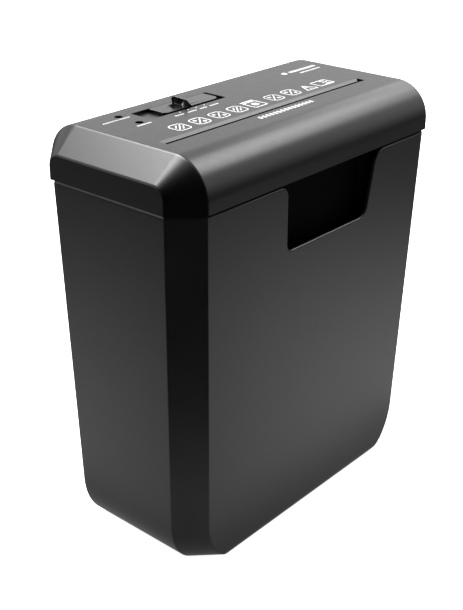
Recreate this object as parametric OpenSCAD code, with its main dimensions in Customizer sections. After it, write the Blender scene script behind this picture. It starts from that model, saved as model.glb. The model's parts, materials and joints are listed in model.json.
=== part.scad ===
// Cross-cut paper shredder: a cutting head that lifts off a tapered waste bin.
// Millimetres. X runs along the paper slot, the front faces -Y, Z is up,
// and the origin is the centre of the base.

/* [Body] */
// Length of the head along the paper slot
head_l = 300; // [296:1:306]
// Depth of the head, front to back
head_d = 150; // [148:1:156]
// Height of the flat top above the floor
top_z = 329; // [328:0.5:332]
// Height of the seam between head and bin
seam_z = 293; // [292:0.5:294]
// Height of the upright lip at each end of the head
lip_z = 312; // [310:0.5:314]
// Radius of the head's long front and back top edges
top_r = 28; // [24:1:32]
// Width of the bevel around each end of the head
bevel = 20; // [18:1:21]
// Wall of the mouldings
wall = 2.4; // [2:0.1:2.6]

/* [Bin] */
// How far the rim stands inside the head's outline
rim_inset = 2.15; // [1.8:0.05:2.4]
// Gap between the rim and the head resting on it
rim_gap = 0.4; // [0.3:0.1:0.6]
// Length of the bin at its bottom
base_l = 281; // [270:1:286]
// Depth of the bin at its bottom
base_d = 134; // [124:1:136]
// Radius of the bin's two lower ends
base_r = 33; // [24:1:34]
// Radius of the bin's front and back bottom edges
base_edge_r = 5; // [3:1:9]

/* [Paper slot] */
// Width of paper that the throat takes
throat_l = 220; // [218:1:221]
// Clear gap of the throat
throat_gap = 4.6; // [4.4:0.1:5]
// Middle of the throat along the head
throat_x = -6.2; // [-7:0.1:-5]
// Middle of the throat, front to back
throat_y = -27.4; // [-29:0.1:-26]
// Width of the lead-in bevel behind the throat
lead_in = 2.3; // [2:0.1:3]

/* [Cutters] */
// Height of both cutter shafts
cutter_z = 268; // [267:0.5:269]
// Radius over the cutter discs
disc_r = 15; // [14.5:0.1:15.2]
// Thickness of a cutter disc
disc_t = 3.9; // [3.6:0.1:4]
// Spacing of the discs on one shaft
disc_pitch = 8.8; // [8.8:0.1:8.9]
// Number of discs on the front shaft
disc_count = 25; // [23:1:25]
// Width across the flats of a cutter shaft
hex_af = 12; // [11:0.5:12.5]

/* [Gears] */
// Module of the pair that ties the two cutters together
sync_m = 1.25; // [1.25:0.05:1.25]
// Teeth of each cutter gear of that pair
sync_z = 22; // [22:1:22]
// Module of the two fast stages
fast_m = 1; // [1:0.1:1]
// Module of the slow stage
slow_m = 1.5; // [1.5:0.1:1.5]
// Tooth thinning on each flank for backlash
backlash = 0.06; // [0.04:0.01:0.1]

/* [Controls] */
// Middle of the thumb ridge along the head
knob_x = -41.5; // [-42:0.5:-41]
// Middle of the selector, front to back
knob_y = 29.8; // [29:0.1:31]
// Height of the thumb ridge above the cover
knob_h = 5.9; // [5:0.1:8]

/* [Hidden] */
$fn = 48;
eps = 0.01;

// Derived outline sizes
half_l = head_l / 2;
half_d = head_d / 2;
rim_z = seam_z - rim_gap;
rim_l = half_l - rim_inset;
rim_d = half_d - rim_inset;
lip_r = top_r - bevel + 1.5;

// Lower housing
tub_l = 138;
tub_d = 66.5;
tub_c = 15;
tub_bottom = 234;
tub_floor = tub_bottom + wall;
flange_t = 2.4;
fit_gap = 0.2;
guide_t = 1.7;
pocket_x = [-44, 64];
pocket_face = 60.7;
pocket_r = 8;

// Cutting block
cutter_dist = sync_m * sync_z;
front_y = throat_y - cutter_dist / 2;
rear_y = throat_y + cutter_dist / 2;
plate_t = 2;
block_l = 224;
left_x = throat_x - block_l / 2;
right_x = throat_x + block_l / 2;
outer_x = right_x + plate_t;
hub_r = 8.6;
journal_r = 5.5;
run_gap = 0.06;
seat_gap = 0.03;
rod_r = 3;
rod_places = [
    [front_y - 13.3, cutter_z + 17], [front_y - 13.3, cutter_z - 14],
    [rear_y + 16.6, cutter_z + 17], [rear_y + 18, cutter_z - 14]
];
exit_y = [front_y - 10.5, rear_y + 10.5];
exit_l = block_l - 2;
foot_l = 12;
left_feet = [-46, 4];
right_feet = [-50, 20];
foot_w = 12;

// Gear train: layers along X, then the axes in Y and Z
layer_1 = [outer_x + 1.2, 6.5];
layer_2 = [outer_x + 9.2, 6];
layer_3 = [outer_x + 16.7, 7.5];
gear_plate_x = outer_x + 25.4;
gear_plate_t = 1.5;
slow_z = [12, 32];
mid_z = [12, 48];
motor_z = [10, 40];
shift_10 = 0.42;
shift_12 = 0.32;
slow_dist = slow_m * (slow_z[0] + slow_z[1]) / 2;
mid_dist = fast_m * (mid_z[0] + mid_z[1]) / 2;
fast_dist = fast_m * (motor_z[0] + motor_z[1]) / 2;
second_at = [rear_y + slow_dist, cutter_z];
motor_at = [38, 264];
first_at = meet(second_at, mid_dist, motor_at, fast_dist);
axle_r = 3;
post_places = [[-45.5, 292], [8, 303], [46, 241.5], [-40, 244]];
post_r = 4;

// Motor
motor_r = 21;
motor_l = 74;
motor_x = right_x - motor_l;
motor_screw_r = 14;
motor_shaft_r = 2.5;

// The cover's mouth is wider than the guide below it by this step at the back
mouth_step = 1.2;

// Selector: a plate that slides along X in a recess of the cover
recess_x = [-85.1, -5.8];
recess_y = [18.4, 39.6];
recess_z = top_z - 2.3;
slider_x = [-67.7, -9.2];
slider_y = [22, 39.2];
slider_z = [recess_z + 0.3, top_z + 0.1];
travel = [-17, 3];
stem_w = 4;

// Indicator lenses, cord gland, screws and switches
lens_r = 2.3;
lens_places = [[-96.5, 40.1], [-96.1, 19.6]];
gland_at = [-96, 304.5];
gland_r = 6.5;
gland_neck_r = 4.9;
gland_rim = 1.6;
cord_r = 3.6;
cover_screw_places = [for (sx = [-1, 1], sy = [-1, 1]) [sx * 141.2, sy * 44]];
plunger_at = [-141.6, 28];
plunger_r = 2.2;
plunger_z = 289.4;
flag_x = throat_x;
flag_axis = [-15.5, 308];
flag_pin_r = 1.5;

// ---------------------------------------------------------------- geometry
// The point at distance ra from a and rb from b, on the upper side
function meet(a, ra, b, rb) =
    let (d = norm(b - a), u = (b - a) / d, k = (ra * ra - rb * rb + d * d) / (2 * d),
         h = sqrt(ra * ra - k * k))
    a + k * u + h * [-u[1], u[0]];

// Outline with its corners rounded: each entry of pts is [x, y, radius]
function unit(v) = v / norm(v);
function rounded(pts, steps = 6) = [
    for (i = [0:len(pts) - 1])
        let (n = len(pts), p = [pts[i][0], pts[i][1]], r = pts[i][2],
             a = pts[(i + n - 1) % n], b = pts[(i + 1) % n],
             u = unit([a[0], a[1]] - p), v = unit([b[0], b[1]] - p),
             half = acos(u * v) / 2, c = p + unit(u + v) * r / max(sin(half), eps),
             s = p + u * r / tan(half) - c, e = p + v * r / tan(half) - c)
        each r == 0 ? [p] : [for (k = [0:steps]) c + r * unit(s * (1 - k / steps) + e * k / steps)]
];

module octagon(hl, hd, c) {
    polygon([
        [-hl, -hd + c], [-hl + c, -hd], [hl - c, -hd], [hl, -hd + c],
        [hl, hd - c], [hl - c, hd], [-hl + c, hd], [-hl, hd - c]
    ]);
}

// Stands a YZ outline up along X, from x to x + t
module along_x(x, t) {
    translate([x, 0, 0]) rotate([90, 0, 90]) linear_extrude(t) children();
}

// A round bar along X
module bar_x(x, t, at, r, fn = 48) {
    translate([x, at[0], at[1]]) rotate([0, 90, 0]) cylinder(h = t, r = r, $fn = fn);
}

// A round bar along Y
module bar_y(y, t, at, r) {
    translate([at[0], y, at[1]]) rotate([-90, 0, 0]) cylinder(h = t, r = r);
}

// A round bar along Z
module bar_z(at, z, t, r) {
    translate([at[0], at[1], z]) cylinder(h = t, r = r);
}

// Stands an XZ outline up along Y, from y to y + t
module along_y(y, t) {
    translate([0, y + t, 0]) rotate([90, 0, 0]) linear_extrude(t) children();
}

// ---------------------------------------------------------------- gears
function inv(a) = tan(a) * 180 / PI - a;

// One tooth of an involute gear as polar points [radius, angle] of its rising flank
function flank(m, z, x, thin) =
    let (rp = m * z / 2, rb = rp * cos(20), ra = m * (z / 2 + 1 + x), rf = m * (z / 2 - 1.25 + x),
         half = 90 / z + 2 * x * tan(20) / z * 180 / PI + inv(20) - thin / rp * 180 / PI,
         r0 = max(rb, rf), steps = 4)
    concat(
        rf < rb ? [[rf, half]] : [],
        [for (k = [0:steps]) let (r = r0 + (ra - r0) * k / steps) [r, half - inv(acos(rb / r))]]
    );

// Outline of a gear with one tooth centred on angle at
module gear_outline(m, z, x = 0, at = 0) {
    side = flank(m, z, x, backlash);
    n = len(side);
    polygon([
        for (i = [0:z - 1]) each concat(
            [for (k = [0:n - 1]) let (a = at + i * 360 / z - side[k][1])
                side[k][0] * [cos(a), sin(a)]],
            [for (k = [0:n - 1]) let (a = at + i * 360 / z + side[n - 1 - k][1])
                side[n - 1 - k][0] * [cos(a), sin(a)]]
        )
    ]);
}

// A gear on the axis at centre (Y, Z), filling layer [x, width], bored for its shaft
module gear(layer, centre, m, z, x, turn, bore) {
    difference() {
        translate([layer[0], centre[0], centre[1]]) rotate([90, 0, 90])
            linear_extrude(layer[1]) gear_outline(m, z, x, turn);
        bar_x(layer[0] - 1, layer[1] + 2, centre, bore);
    }
}

// Angle of the line from a to b, and the turn that puts a gap of a z-toothed gear on it
function heading(a, b) = atan2(b[1] - a[1], b[0] - a[0]);
function gap_turn(a, b, z) = heading(a, b) + 180 / z;

// ---------------------------------------------------------------- waste bin
// How far a circle of radius r has curved in at height z above its lowest point
function curve_in(r, z) = z >= r ? 0 : r - sqrt(r * r - (r - z) * (r - z));

// Corners of the octagon in order: its X side, its Y side, and 1 where it is cut along X
corner_order = [
    [-1, -1, 0], [-1, -1, 1], [1, -1, 1], [1, -1, 0], [1, 1, 0], [1, 1, 1], [-1, 1, 1], [-1, 1, 0]
];

// The bin's octagonal outline at height z, shrunk by w and by the rim's rounding
function bin_ring(z, w, round_in) =
    let (t = z / rim_z, low = z - w,
         hl = base_l / 2 + (rim_l - base_l / 2) * t - w - curve_in(base_r - w, low) - round_in,
         hd = base_d / 2 + (rim_d - base_d / 2) * t - w - curve_in(base_edge_r, low) - round_in,
         c = bevel - w * (2 - sqrt(2)))
    [for (p = corner_order) [p[0] * (hl - c * p[2]), p[1] * (hd - c * (1 - p[2])), z]];

// A closed skin over a stack of eight-sided rings
module skin(rings) {
    n = len(rings);
    polyhedron(
        [for (r = rings) each r],
        concat(
            [[for (i = [0:7]) i], [for (i = [0:7]) 8 * n - 1 - i]],
            [for (k = [0:n - 2], i = [0:7]) let (j = (i + 1) % 8)
                [8 * k + i, 8 * k + 8 + i, 8 * k + 8 + j, 8 * k + j]]
        )
    );
}

// The bin's shape, shrunk by w all round; w of 0 gives the outside with its rounded rim
module bin_form(w) {
    low = [for (a = [0:10:90]) [w + (base_r - w) * (1 - cos(a)), 0]];
    rounded_rim = [[rim_z - 3.2, 0], [rim_z - 1.6, 0.4], [rim_z - 0.6, 1], [rim_z, 2]];
    high = w > 0 ? [[rim_z + 1, 0]] : rounded_rim;
    skin([for (level = concat(low, high)) bin_ring(level[0], w, level[1])]);
}

notch = [
    [-90, 306, 0], [-90, rim_z + 0.1, 0], [-43.6, rim_z + 0.1, 9], [-41.7, 239.6, 6],
    [55, 239.6, 9], [63.8, rim_z + 0.1, 9], [100, rim_z + 0.1, 0], [100, 306, 0]
];

module waste_bin() {
    post = [6.2, 12, 15];
    color([0.2, 0.2, 0.21]) {
        difference() {
            bin_form(0);
            bin_form(wall);
            along_y(-half_d - 5, 20) polygon(rounded(notch));
        }
        // Post that presses the head's safety switch
        translate([-rim_l + wall - 0.5, plunger_at[1] - post[1] / 2, plunger_z - 0.3 - post[2]])
            cube(post);
    }
}

// ---------------------------------------------------------------- head covers
// Cross-section of the head from z0 to z: hd is half its depth, its top corners are rounded
module head_section(hd, z0, z, r) {
    intersection() {
        union() {
            translate([-hd, z0]) square([2 * hd, z - r - z0]);
            translate([-hd + r, z0]) square([2 * (hd - r), z - z0]);
            for (s = [-1, 1]) translate([s * (hd - r), z - r]) circle(r = r, $fn = 96);
        }
        translate([-hd, z0]) square([2 * hd, z - z0]);
    }
}

// The head's outer shape, shrunk by w all round and open below by drop
module head_form(w, drop) {
    hl = half_l - bevel - w * 0.4;
    z0 = seam_z - drop;
    hull() {
        along_x(-hl, 2 * hl) head_section(half_d - w, z0, top_z - w, top_r - w);
        along_x(-half_l + w, 2 * (half_l - w))
            head_section(half_d - bevel - w * 0.4, z0, lip_z - w * 0.45, lip_r - w * 0.4);
    }
}

// The throat from z0 to z1, wider towards the back by more
module slot_block(z0, z1, more = 0) {
    translate([throat_x - throat_l / 2, throat_y - throat_gap / 2, z0])
        cube([throat_l, throat_gap + more, z1 - z0]);
}

// Lead-in behind and at both ends of the throat
module slot_lead_in() {
    depth = 1.3;
    end = 3.2;
    y0 = throat_y - throat_gap / 2;
    y1 = throat_y + throat_gap / 2 + mouth_step;
    along_x(throat_x - throat_l / 2 - end, throat_l + 2 * end) polygon([
        [y0, top_z - depth], [y1, top_z - depth], [y1 + lead_in, top_z + eps], [y0, top_z + eps]
    ]);
}

// The selector's recess from z0 to z1, grown by grow for the moulding round it
module recess_box(grow, z0, z1) {
    translate([recess_x[0] - grow, recess_y[0] - grow, z0])
        cube([recess_x[1] - recess_x[0] + 2 * grow, recess_y[1] - recess_y[0] + 2 * grow, z1 - z0]);
}

module stem_slot(h0, h1) {
    x0 = knob_x + travel[0] - stem_w / 2 - 1;
    translate([x0, knob_y - 2.5, h0]) cube([travel[1] - travel[0] + stem_w + 2, 5, h1 - h0]);
}

module top_cover() {
    boss_r = 3.6;
    color([0.24, 0.24, 0.25]) difference() {
        union() {
            difference() {
                head_form(0, 0);
                head_form(wall, 1);
            }
            recess_box(1.8, recess_z - 1.6, top_z - 1);
            for (p = cover_screw_places) {
                z0 = seam_z + flange_t + fit_gap;
                bar_z(p, z0, 15, boss_r);
                // Rib that ties the boss to the end wall
                translate([min(p[0], sign(p[0]) * (half_l - 1)), p[1] - 1, z0])
                    cube([half_l - 1 - abs(p[0]), 2, 12]);
            }
            // Bosses that carry the indicator lenses
            for (p = lens_places) bar_z(p, top_z - 9, 8, lens_r + 1.7);
        }
        slot_block(top_z - wall - 1, top_z + 1, mouth_step);
        slot_lead_in();
        recess_box(0, recess_z, top_z + 1);
        stem_slot(recess_z - 4, recess_z + 1);
        for (p = lens_places) bar_z(p, top_z - 12, 20, lens_r + 0.1);
        for (p = cover_screw_places) bar_z(p, seam_z, 14, 1.5);
        // Hole for the cord gland in the back wall, sunk to take the gland's outer rim
        bar_y(half_d - 8, 12, gland_at, gland_neck_r + 0.1);
        bar_y(half_d - gland_rim - 0.1, 5, gland_at, gland_r + 0.1);
    }
}

// Tub wall outline: the rear and ends straight, with a grip pocket in the front
module tub_outline(w) {
    hl = tub_l - w;
    hd = tub_d - w;
    p = pocket_face - w;
    polygon(rounded([
        [-hl, -hd + tub_c, 2], [-hl + tub_c, -hd, 2], [pocket_x[0] - w, -hd, pocket_r / 2],
        [pocket_x[0] + 6 - w, -p, pocket_r / 2], [pocket_x[1] - 6 + w, -p, pocket_r / 2],
        [pocket_x[1] + w, -hd, pocket_r / 2],
        [hl - tub_c, -hd, 2], [hl, -hd + tub_c, 2], [hl, hd - tub_c, 2], [hl - tub_c, hd, 2],
        [-hl + tub_c, hd, 2], [-hl, hd - tub_c, 2]
    ]));
}

module lower_housing() {
    w = wall + fit_gap;
    color([0.08, 0.08, 0.09]) difference() {
        union() {
            translate([0, 0, tub_bottom]) linear_extrude(seam_z - tub_bottom) tub_outline(0);
            translate([0, 0, seam_z]) linear_extrude(flange_t)
                octagon(half_l - w, half_d - w, bevel - w * 0.4);
        }
        translate([0, 0, tub_floor]) linear_extrude(seam_z) tub_outline(wall - 0.2);
        // Opening that the shreds fall through
        translate([throat_x - exit_l / 2, exit_y[0], tub_bottom - 1])
            cube([exit_l, exit_y[1] - exit_y[0], wall + 2]);
        for (p = frame_screw_places) bar_z(p, tub_bottom - 1, wall + 2, 2.1);
        for (p = cover_screw_places) bar_z(p, seam_z - 1, flange_t + 2, 1.9);
        bar_z(plunger_at, seam_z - 1, flange_t + 2, plunger_r + 0.08);
    }
}

// Two walls that lead the paper from the slot down to the cutters
module throat_guide() {
    z0 = cutter_z + disc_r + 3;
    z1 = top_z - wall - 0.05;
    t = guide_t;
    end_t = 1.3;
    flange_w = 7;
    x0 = throat_x - throat_l / 2;
    color([0.1, 0.1, 0.11]) difference() {
        union() {
            translate([x0 - end_t, throat_y - throat_gap / 2 - t, z0])
                cube([throat_l + 2 * end_t, throat_gap + 2 * t, z1 - z0]);
            translate([x0 - end_t, throat_y - throat_gap / 2 - flange_w, z1 - 2])
                cube([throat_l + 2 * end_t, throat_gap + 2 * flange_w, 2]);
        }
        slot_block(z0 - 1, z1 + 1);
        // Window that the paper flag swings through
        translate([flag_x - 3.5, throat_y, 290]) cube([7, 8, 19]);
    }
}

// ---------------------------------------------------------------- cutting block
frame_screw_places = concat(
    [for (y = left_feet) [left_x - plate_t - foot_l / 2, y]],
    [for (y = right_feet) [outer_x + foot_l / 2, y]]
);

module foot(x, y) {
    difference() {
        translate([x, y - foot_w / 2, tub_floor]) cube([foot_l + plate_t, foot_w, plate_t]);
        for (p = frame_screw_places) bar_z(p, tub_floor - 1, 5, 2.1);
    }
}

module plate_holes(x) {
    for (y = [front_y, rear_y]) bar_x(x - 1, plate_t + 2, [y, cutter_z], 8 + seat_gap);
    for (p = rod_places) bar_x(x - 1, plate_t + 2, p, 2.1);
}

module left_frame_plate() {
    color([0.72, 0.73, 0.75]) {
        difference() {
            along_x(left_x - plate_t, plate_t) polygon(rounded([
                [-58, tub_floor, 0], [-58, 291, 5], [12, 291, 5], [12, tub_floor, 0]
            ]));
            plate_holes(left_x - plate_t);
        }
        for (y = left_feet) foot(left_x - plate_t - foot_l, y);
    }
}

module right_frame_plate() {
    color([0.72, 0.73, 0.75]) {
        difference() {
            along_x(right_x, plate_t) polygon(rounded([
                [-58, tub_floor, 0], [-58, 297, 5], [-4, 309, 5],
                [52, 309, 8], [62, 286, 8], [62, tub_floor, 0]
            ]));
            plate_holes(right_x);
            bar_x(right_x - 1, plate_t + 2, motor_at, 6.5);
            for (s = [-1, 1]) bar_x(right_x - 1, plate_t + 2, motor_at + [s * motor_screw_r, 0], 1.6);
            for (p = [first_at, second_at]) bar_x(right_x - 1, plate_t + 2, p, axle_r + seat_gap);
            for (p = post_places) bar_x(right_x - 1, plate_t + 2, p, 1.6);
        }
        for (y = right_feet) foot(right_x, y);
    }
}

module tie_rods() {
    color([0.78, 0.78, 0.8]) for (p = rod_places) difference() {
        bar_x(left_x, block_l, p, rod_r);
        for (x = [left_x - 1, right_x - 8]) bar_x(x, 9, p, 1.55);
    }
}

// A pan-head screw along X: its head outside x, its shank running by len
module screw_x(x, dir, at, head_r, head_t, r, len) {
    bar_x(dir > 0 ? x - head_t : x, head_t, at, head_r);
    bar_x(dir > 0 ? x : x - len, len, at, r);
}

module tie_rod_screws() {
    color([0.85, 0.85, 0.87]) for (p = rod_places) {
        screw_x(left_x - plate_t, 1, p, 3, 1.8, 1.5, 9);
        screw_x(outer_x, -1, p, 3, 1, 1.5, 9);
    }
}

// Fingers between the discs of one shaft on its outer side: s is -1 in front, 1 behind
module stripper_comb(axis_y, s, count) {
    spine_y = disc_r + 0.45;
    spine_t = 1.4;
    along_x(left_x, block_l) translate([axis_y + s * (spine_y + spine_t / 2), cutter_z])
        square([spine_t, 20], center = true);
    for (k = [0:count - 1]) {
        x = throat_x + (k - (count - 1) / 2) * disc_pitch;
        along_x(x - disc_t / 2, disc_t) difference() {
            translate([axis_y + s * (spine_y + 4) / 2, cutter_z])
                square([spine_y - 4 + 0.1, 21], center = true);
            translate([axis_y, cutter_z]) circle(r = hub_r + 0.6);
        }
    }
}

module front_stripper_comb() {
    color([0.9, 0.9, 0.88]) stripper_comb(front_y, -1, disc_count - 1);
}

module rear_stripper_comb() {
    color([0.9, 0.9, 0.88]) stripper_comb(rear_y, 1, disc_count);
}

module cutter_bushes() {
    color([0.72, 0.55, 0.3]) for (y = [front_y, rear_y], x = [left_x - plate_t, right_x]) difference() {
        union() {
            bar_x(x, plate_t, [y, cutter_z], 8);
            bar_x(x > 0 ? x - 1.4 : x + plate_t, 1.4, [y, cutter_z], 9.2);
        }
        bar_x(x - 2, plate_t + 4, [y, cutter_z], journal_r + run_gap);
    }
}

// Hexagonal shaft with a round journal at each end, the right one running to x1
module cutter_shaft(y, x1) {
    hex0 = left_x + 1.9;
    hex1 = right_x - 1.9;
    color([0.62, 0.63, 0.66]) {
        bar_x(hex0, hex1 - hex0, [y, cutter_z], hex_af / sqrt(3), 6);
        bar_x(left_x - plate_t - 2, hex0 - left_x + plate_t + 2, [y, cutter_z], journal_r);
        bar_x(hex1, x1 - hex1, [y, cutter_z], journal_r);
    }
}

// A hooked cutter disc with its spacing hub, bored for the hexagonal shaft
module cutter_disc(x, y, turn) {
    hooks = 4;
    translate([x, y, cutter_z]) rotate([turn, 0, 0]) rotate([0, 90, 0]) difference() {
        union() {
            difference() {
                translate([0, 0, -disc_t / 2]) cylinder(h = disc_t, r = disc_r);
                for (i = [0:hooks - 1]) rotate([0, 0, i * 360 / hooks]) translate([0, 0, -disc_t])
                    linear_extrude(2 * disc_t) polygon([
                        [disc_r + 1, 0], [disc_r - 3.6, 1.2], [(disc_r + 1) * cos(24), (disc_r + 1) * sin(24)]
                    ]);
            }
            translate([0, 0, 0.025 - disc_pitch / 2]) cylinder(h = disc_pitch - 0.05, r = hub_r);
        }
        // The bore turns back by the disc's own turn, so every disc fits the one shaft
        rotate([0, 0, -turn]) translate([0, 0, -disc_pitch])
            cylinder(h = 2 * disc_pitch, r = (hex_af + 0.1) / sqrt(3), $fn = 6);
    }
}

module cutter_discs(y, count, lead) {
    for (k = [0:count - 1])
        cutter_disc(throat_x + (k - (count - 1) / 2) * disc_pitch, y, lead * (k % 6) * 15);
}

module front_cutter_shaft() cutter_shaft(front_y, outer_x + 9);
module rear_cutter_shaft() cutter_shaft(rear_y, gear_plate_x + gear_plate_t);

module front_cutter_discs() {
    color([0.5, 0.51, 0.54]) cutter_discs(front_y, disc_count, 1);
}

module rear_cutter_discs() {
    color([0.5, 0.51, 0.54]) cutter_discs(rear_y, disc_count - 1, -1);
}

module front_cutter_gear() {
    color([0.66, 0.66, 0.68])
        gear(layer_1, [front_y, cutter_z], sync_m, sync_z, 0, 0, journal_r + seat_gap);
}

module rear_cutter_gear() {
    color([0.66, 0.66, 0.68])
        gear(layer_1, [rear_y, cutter_z], sync_m, sync_z, 0, 180 + 180 / sync_z, journal_r + seat_gap);
}

// ---------------------------------------------------------------- drive
module rear_drive_gear() {
    here = [rear_y, cutter_z];
    color([0.93, 0.93, 0.9])
        gear(layer_3, here, slow_m, slow_z[1], -shift_12, gap_turn(here, second_at, slow_z[1]),
            journal_r + seat_gap);
}

// Large wheel and its pinion in one piece, turning on a fixed axle
module compound_gear(here, wheel, pinion) {
    gear(wheel[0], here, wheel[1], wheel[2], wheel[3], wheel[4], axle_r + run_gap);
    gear(pinion[0], here, pinion[1], pinion[2], pinion[3], pinion[4], axle_r + run_gap);
    join = [wheel[0][0] + wheel[0][1], pinion[0][0] - wheel[0][0] - wheel[0][1]];
    difference() {
        bar_x(join[0] - eps, join[1] + 2 * eps, here, 4.6);
        bar_x(join[0] - 1, join[1] + 2, here, axle_r + run_gap);
    }
}

module first_compound_gear() {
    color([0.93, 0.93, 0.9]) compound_gear(first_at,
        [layer_1, fast_m, motor_z[1], -shift_10, gap_turn(first_at, motor_at, motor_z[1])],
        [layer_2, fast_m, mid_z[0], shift_12, heading(first_at, second_at)]);
}

module second_compound_gear() {
    color([0.93, 0.93, 0.9]) compound_gear(second_at,
        [layer_2, fast_m, mid_z[1], -shift_12, gap_turn(second_at, first_at, mid_z[1])],
        [layer_3, slow_m, slow_z[0], shift_12, heading(second_at, [rear_y, cutter_z])]);
}

module motor_pinion() {
    color([0.8, 0.68, 0.4])
        gear([layer_1[0], layer_1[1] + 0.8], motor_at, fast_m, motor_z[0], shift_10,
            heading(motor_at, first_at), motor_shaft_r + seat_gap);
}

module motor_can() {
    color([0.6, 0.61, 0.63]) difference() {
        union() {
            bar_x(motor_x, motor_l, motor_at, motor_r);
            bar_x(right_x - 1, plate_t + 1, motor_at, 6.4);
        }
        bar_x(motor_x - 1, motor_l - 0.6, motor_at, motor_r - 1.4);
        bar_x(motor_x, motor_l + 4, motor_at, motor_shaft_r + run_gap);
        for (s = [-1, 1]) bar_x(right_x - 5, 8, motor_at + [s * motor_screw_r, 0], 1.5);
    }
}

module motor_magnets() {
    r1 = motor_r - 1.45;
    color([0.25, 0.25, 0.27]) for (s = [0, 180]) translate([motor_x + 16, motor_at[0], motor_at[1]])
        rotate([s, 0, 0]) rotate([0, 90, 0]) rotate([0, 0, -62]) rotate_extrude(angle = 124)
            translate([r1 - 4, 0]) square([4, motor_l - 24]);
}

module motor_end_cap() {
    cap = 4;
    color([0.12, 0.12, 0.13]) difference() {
        union() {
            bar_x(motor_x - cap, cap, motor_at, motor_r);
            bar_x(motor_x - cap - 3, cap, motor_at, 6);
            bar_x(motor_x, 3, motor_at, motor_r - 1.45);
            for (s = [-1, 1]) translate([motor_x - cap - 8, motor_at[0] + s * 12 - 2.4, motor_at[1] - 0.4])
                cube([9, 4.8, 0.8]);
        }
        bar_x(motor_x - cap - 1, cap + 6, motor_at, motor_shaft_r + run_gap);
    }
}

module motor_armature() {
    slots = 8;
    color([0.55, 0.4, 0.25]) {
        difference() {
            bar_x(motor_x + 18, motor_l - 30, motor_at, 14.6);
            for (i = [0:slots - 1]) bar_x(motor_x + 17, motor_l - 28,
                motor_at + 12.4 * [cos(i * 360 / slots), sin(i * 360 / slots)], 1.8);
        }
        bar_x(motor_x + 6, 13, motor_at, 7);
        bar_x(motor_x - 3.5, motor_l + plate_t + 12.5, motor_at, motor_shaft_r);
    }
}

module motor_screws() {
    color([0.85, 0.85, 0.87]) for (s = [-1, 1])
        screw_x(outer_x, -1, motor_at + [s * motor_screw_r, 0], 2.6, 1, 1.45, 5);
}

module gear_axles() {
    color([0.78, 0.78, 0.8]) for (p = [first_at, second_at])
        bar_x(right_x, gear_plate_x + gear_plate_t - right_x, p, axle_r);
}

module gear_plate() {
    color([0.72, 0.73, 0.75]) difference() {
        along_x(gear_plate_x, gear_plate_t) polygon(rounded([
            [-49.5, 238, 4], [-49.5, 299, 5], [8, 309, 6], [49.5, 302, 8], [49.5, 238, 5]
        ]));
        for (p = [first_at, second_at]) bar_x(gear_plate_x - 1, 4, p, axle_r + seat_gap);
        bar_x(gear_plate_x - 1, 4, [rear_y, cutter_z], journal_r + run_gap);
        for (p = post_places) bar_x(gear_plate_x - 1, 4, p, 1.6);
    }
}

module gear_plate_posts() {
    color([0.78, 0.78, 0.8]) for (p = post_places) difference() {
        bar_x(outer_x, gear_plate_x - outer_x, p, post_r);
        for (x = [outer_x - 1, gear_plate_x - 8]) bar_x(x, 9, p, 1.55);
    }
}

module gear_plate_screws() {
    color([0.85, 0.85, 0.87]) for (p = post_places) {
        screw_x(gear_plate_x + gear_plate_t, -1, p, 2.8, 0.9, 1.5, 8);
        screw_x(right_x, 1, p, 2.8, 1.6, 1.5, 9);
    }
}

// An upright pan-head screw: head below z, shank running up by len
module screw_z(at, z, head_r, head_t, r, len) {
    bar_z(at, z - head_t, head_t, head_r);
    bar_z(at, z, len, r);
}

module frame_screws() {
    color([0.85, 0.85, 0.87]) for (p = frame_screw_places) screw_z(p, tub_bottom, 3.6, 2.2, 1.95, 6.5);
}

module cover_screws() {
    color([0.3, 0.3, 0.32]) for (p = cover_screw_places) screw_z(p, seam_z, 3.2, 1.8, 1.45, 14);
}

// ---------------------------------------------------------------- controls
module selector_slider() {
    x0 = slider_x[0];
    x1 = slider_x[1];
    y0 = slider_y[0];
    y1 = slider_y[1];
    ridge_l = 15.4;
    color([0.13, 0.13, 0.14]) {
        translate([0, 0, slider_z[0]]) linear_extrude(slider_z[1] - slider_z[0])
            polygon(rounded([[x0, y0, 2.5], [x1, y0, 5], [x1, y1, 1.5], [x0, y1, 1.5]]));
        // Thumb ridge across the slider
        along_y(knob_y - ridge_l / 2, ridge_l) translate([knob_x, slider_z[1]]) polygon(rounded([
            [-4.2, -0.5, 0], [-3, knob_h - 0.8, 1.8], [1.8, knob_h, 1.8], [4, -0.5, 0]
        ]));
        translate([knob_x - stem_w / 2, knob_y - 1.8, slider_z[0] - 11]) cube([stem_w, 3.6, 11 + eps]);
    }
}

module selector_switch() {
    body = [46, 15, 13];
    z1 = recess_z - 4.2;
    mid_x = knob_x + (travel[0] + travel[1]) / 2;
    color([0.16, 0.16, 0.17]) difference() {
        translate([mid_x - body[0] / 2, knob_y - body[1] / 2, z1 - body[2]]) cube(body);
        translate([knob_x + travel[0] - stem_w / 2 - 0.8, knob_y - 2.2, z1 - 9])
            cube([travel[1] - travel[0] + stem_w + 1.6, 4.4, 10]);
    }
    color([0.8, 0.7, 0.45]) for (i = [-2:2])
        translate([mid_x + i * 8 - 0.8, knob_y - 0.3, z1 - body[2] - 4]) cube([1.6, 0.6, 4 + eps]);
}

module indicator_lenses() {
    color([0.35, 0.12, 0.12]) for (p = lens_places) {
        bar_z(p, top_z - 13, 12.6, lens_r);
        bar_z(p, top_z - 13, 3.4, lens_r + 1.2);
    }
}

board = [96, 44, 1.6];
board_lift = 7;
board_at = [-112, 17, tub_floor + board_lift];
board_holes = [for (x = [5, 91], y = [5, 39]) [board_at[0] + x, board_at[1] + y]];

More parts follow.
